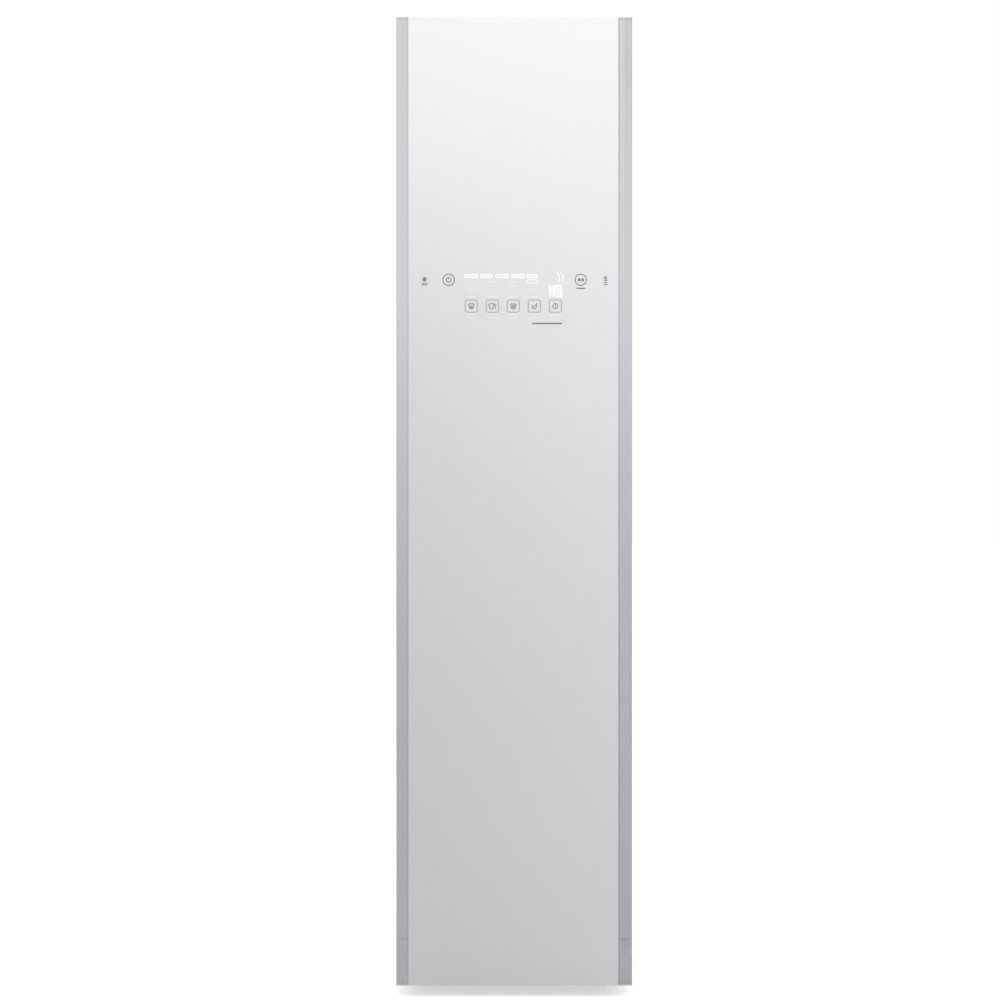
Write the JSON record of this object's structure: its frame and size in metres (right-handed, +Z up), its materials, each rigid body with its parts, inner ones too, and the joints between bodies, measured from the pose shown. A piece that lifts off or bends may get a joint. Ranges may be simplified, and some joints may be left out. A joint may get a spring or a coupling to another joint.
{
  "type": "clothes care steam cabinet",
  "caption": "Tall narrow cabinet with a glass-faced door that steams, shakes and dries hanging clothes in its chamber.",
  "frame": {"origin": "on the floor, under the centre of the bounding box", "axes": "+X to the right of someone facing the door, -Y out of the door's face, +Z up"},
  "size_m": [0.445, 0.585, 1.85],
  "materials": {
    "silver_glass": "back-printed silver glass, gloss",
    "satin_trim": "satin anodised",
    "cap_plastic": "fine grained grey plastic",
    "grey_skin": "pre-coated steel, satin silver grey",
    "white_plastic": "smooth white liner plastic",
    "grey_plastic": "satin grey plastic",
    "dark_plastic": "dark grey moulded plastic",
    "black_plastic": "black moulded plastic",
    "belt_rubber": "black toothed-belt rubber",
    "seal_rubber": "pale grey soft seal",
    "black_paint": "black enamelled steel",
    "galvanised": "galvanised sheet",
    "stainless": "brushed stainless steel",
    "fin_aluminium": "plain fin stock",
    "copper_tube": "drawn copper tube",
    "clear_tank": "translucent clear plastic",
    "blue_tank": "translucent blue-grey plastic",
    "lamp_diffuser": "opal diffuser",
    "insulation": "expanded foam",
    "circuit_board": "green circuit board",
    "press_pad": "grey woven cover over a padded board"
  },
  "bodies": {
    "cabinet": {"side_panel_left": "grey_skin", "side_panel_right": "grey_skin", "rear_panel": "galvanised", "top_cover": "cap_plastic", "front_frame": "white_plastic", "base_pan": "galvanised", "liner_left": "white_plastic", "liner_right": "white_plastic", "liner_back": "white_plastic", "liner_ceiling": "white_plastic", "chamber_floor": "white_plastic", "tank_bay": "grey_plastic", "air_grille": "grey_plastic", "steam_nozzle": "grey_plastic", "lamp_lens": "lamp_diffuser", "evaporator": "fin_aluminium", "condenser": "fin_aluminium", "compressor": "black_paint", "steam_boiler": "stainless", "feed_pump": "dark_plastic", "drain_pump": "dark_plastic", "refrigerant_pipe": "copper_tube", "control_box": "dark_plastic", "lead_gland": "black_plastic", "blower_housing": "dark_plastic", "blower_motor": "galvanised", "drive_bracket": "galvanised", "drive_motor": "galvanised", "drive_belt": "belt_rubber", "hinge_bracket_top": "stainless", "hinge_bracket_bottom": "stainless"},
    "door": {"door_glass": "silver_glass", "door_trim_left": "satin_trim", "door_trim_left_end": "satin_trim", "door_trim_right": "satin_trim", "door_trim_right_end": "satin_trim", "door_cap_top": "cap_plastic", "door_cap_bottom": "cap_plastic", "door_core": "insulation", "touch_board": "circuit_board", "door_liner": "white_plastic", "door_seal": "seal_rubber"},
    "press_board": {"press_board": "press_pad"},
    "press_latch": {"press_latch": "dark_plastic"},
    "hanger": {"hanger_bar": "stainless", "hanger_carriage": "galvanised"},
    "crank_wheel": {"crank_wheel": "stainless"},
    "motor_pulley": {"motor_pulley": "stainless"},
    "blower_impeller": {"blower_impeller": "black_plastic"},
    "supply_tank": {"supply_tank": "clear_tank"},
    "supply_tank_cap": {"supply_tank_cap": "dark_plastic"},
    "drain_tank": {"drain_tank": "blue_tank"},
    "drain_tank_cap": {"drain_tank_cap": "dark_plastic"},
    "lint_filter": {"lint_filter": "grey_plastic"},
    "aroma_case": {"aroma_case": "blue_tank"},
    "shelf": {"shelf": "grey_plastic"},
    "foot_front_left": {"foot_front_left": "black_plastic"},
    "foot_front_right": {"foot_front_right": "black_plastic"},
    "foot_rear_left": {"foot_rear_left": "black_plastic"},
    "foot_rear_right": {"foot_rear_right": "black_plastic"}
  },
  "joints": [
    {"name": "door_hinge", "type": "hinge", "parent": "cabinet", "child": "door", "pos_m": [0.2105, -0.265, 0.937], "axis": [0, 0, 1], "range_deg": [0, 120]},
    {"name": "press_hinge", "type": "hinge", "parent": "door", "child": "press_board", "pos_m": [0.165, -0.221, 1.12], "axis": [0, 0, -1], "range_deg": [0, 90]},
    {"name": "press_latch_turn", "type": "hinge", "parent": "door", "child": "press_latch", "pos_m": [-0.165, -0.2124, 1.12], "axis": [0, -1, 0], "range_deg": [0, 90]},
    {"name": "hanger_slide", "type": "slide", "parent": "cabinet", "child": "hanger", "axis": [1, 0, 0], "range_m": [-0.015, 0.015]},
    {"name": "crank_spin", "type": "hinge", "parent": "cabinet", "child": "crank_wheel", "pos_m": [0, 0.0055, 1.79], "axis": [0, 0, 1], "continuous": true},
    {"name": "motor_spin", "type": "hinge", "parent": "cabinet", "child": "motor_pulley", "pos_m": [0, 0.1255, 1.79], "axis": [0, 0, 1], "continuous": true},
    {"name": "blower_spin", "type": "hinge", "parent": "cabinet", "child": "blower_impeller", "pos_m": [-0.09, 0.07, 0.17], "axis": [0, 1, 0], "continuous": true},
    {"name": "supply_tank_lift", "type": "slide", "parent": "cabinet", "child": "supply_tank", "axis": [0, 0, 1], "range_m": [0, 0.02]},
    {"name": "supply_cap_hinge", "type": "hinge", "parent": "supply_tank", "child": "supply_tank_cap", "pos_m": [-0.096, -0.1295, 0.2178], "axis": [-1, 0, 0], "range_deg": [0, 100]},
    {"name": "drain_tank_lift", "type": "slide", "parent": "cabinet", "child": "drain_tank", "axis": [0, 0, 1], "range_m": [0, 0.02]},
    {"name": "drain_cap_hinge", "type": "hinge", "parent": "drain_tank", "child": "drain_tank_cap", "pos_m": [0.096, -0.1295, 0.2178], "axis": [-1, 0, 0], "range_deg": [0, 100]},
    {"name": "lint_filter_lift", "type": "slide", "parent": "cabinet", "child": "lint_filter", "axis": [0, 0, 1], "range_m": [0, 0.115]},
    {"name": "aroma_case_lift", "type": "slide", "parent": "cabinet", "child": "aroma_case", "axis": [0, 0, 1], "range_m": [0, 0.065]},
    {"name": "shelf_lift", "type": "slide", "parent": "cabinet", "child": "shelf", "axis": [0, 0, 1], "range_m": [0, 0.06]},
    {"name": "foot_front_left_screw", "type": "slide", "parent": "cabinet", "child": "foot_front_left", "axis": [0, 0, 1], "range_m": [-0.012, 0]},
    {"name": "foot_front_right_screw", "type": "slide", "parent": "cabinet", "child": "foot_front_right", "axis": [0, 0, 1], "range_m": [-0.012, 0]},
    {"name": "foot_rear_left_screw", "type": "slide", "parent": "cabinet", "child": "foot_rear_left", "axis": [0, 0, 1], "range_m": [-0.012, 0]},
    {"name": "foot_rear_right_screw", "type": "slide", "parent": "cabinet", "child": "foot_rear_right", "axis": [0, 0, 1], "range_m": [-0.012, 0]}
  ],
  "couplings": [
    {"joint": "motor_spin", "follows": "crank_spin", "ratio": 3}
  ]
}
